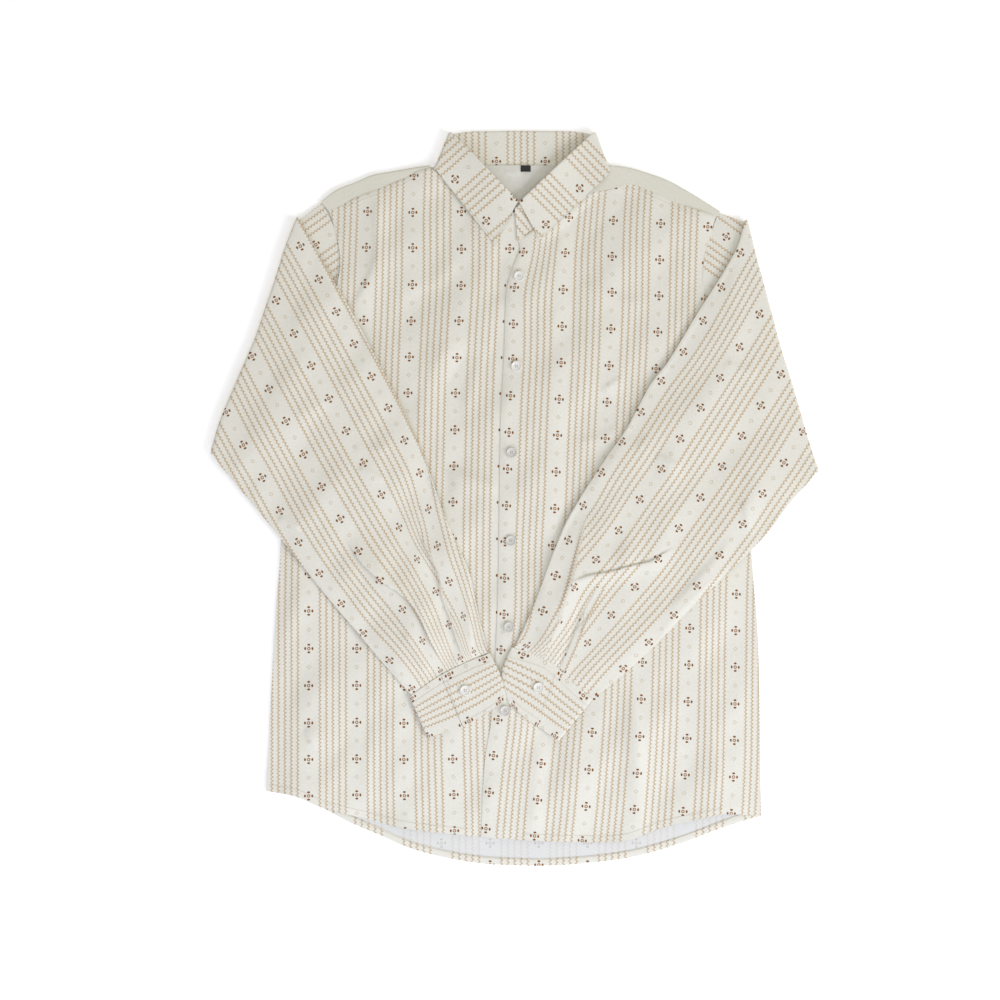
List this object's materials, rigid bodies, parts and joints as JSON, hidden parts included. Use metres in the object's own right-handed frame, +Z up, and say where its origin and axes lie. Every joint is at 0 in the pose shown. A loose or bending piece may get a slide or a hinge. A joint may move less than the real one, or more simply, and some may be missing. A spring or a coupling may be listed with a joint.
{
  "type": "button-down shirt",
  "caption": "Long-sleeved patterned shirt with a turn-down collar and curved hem, laid flat with its sleeves folded over the front.",
  "frame": {"origin": "centre of the laid-out shirt's outline, on the surface that it lies on", "axes": "+Z up from the surface, +Y from hem to collar, +X to the wearer's left sleeve"},
  "size_m": [0.6548, 0.7933, 0.0139],
  "materials": {
    "pattern_cotton": "off-white woven cotton with a tan and brown printed repeat",
    "plain_cotton": "plain cream woven cotton",
    "facing_cotton": "plain white woven cotton",
    "black_tape": "black woven tape",
    "button_plastic": "cream to pearly polished plastic"
  },
  "bodies": {
    "root": {"back": "pattern_cotton", "front_right": "pattern_cotton", "front_left": "pattern_cotton", "yoke_outer": "plain_cotton", "yoke_inner": "facing_cotton", "neck_tag": "black_tape", "collar_stand": "pattern_cotton", "collar_leaf": "pattern_cotton", "sleeve_right": "pattern_cotton", "sleeve_left": "pattern_cotton", "sleeve_placket_left": "pattern_cotton", "cuff_right": "pattern_cotton", "cuff_left": "pattern_cotton", "button_1": "button_plastic", "button_2": "button_plastic", "button_3": "button_plastic", "button_4": "button_plastic", "button_5": "button_plastic", "button_6": "button_plastic", "button_cuff_right": "button_plastic", "button_cuff_left": "button_plastic"}
  },
  "joints": []
}
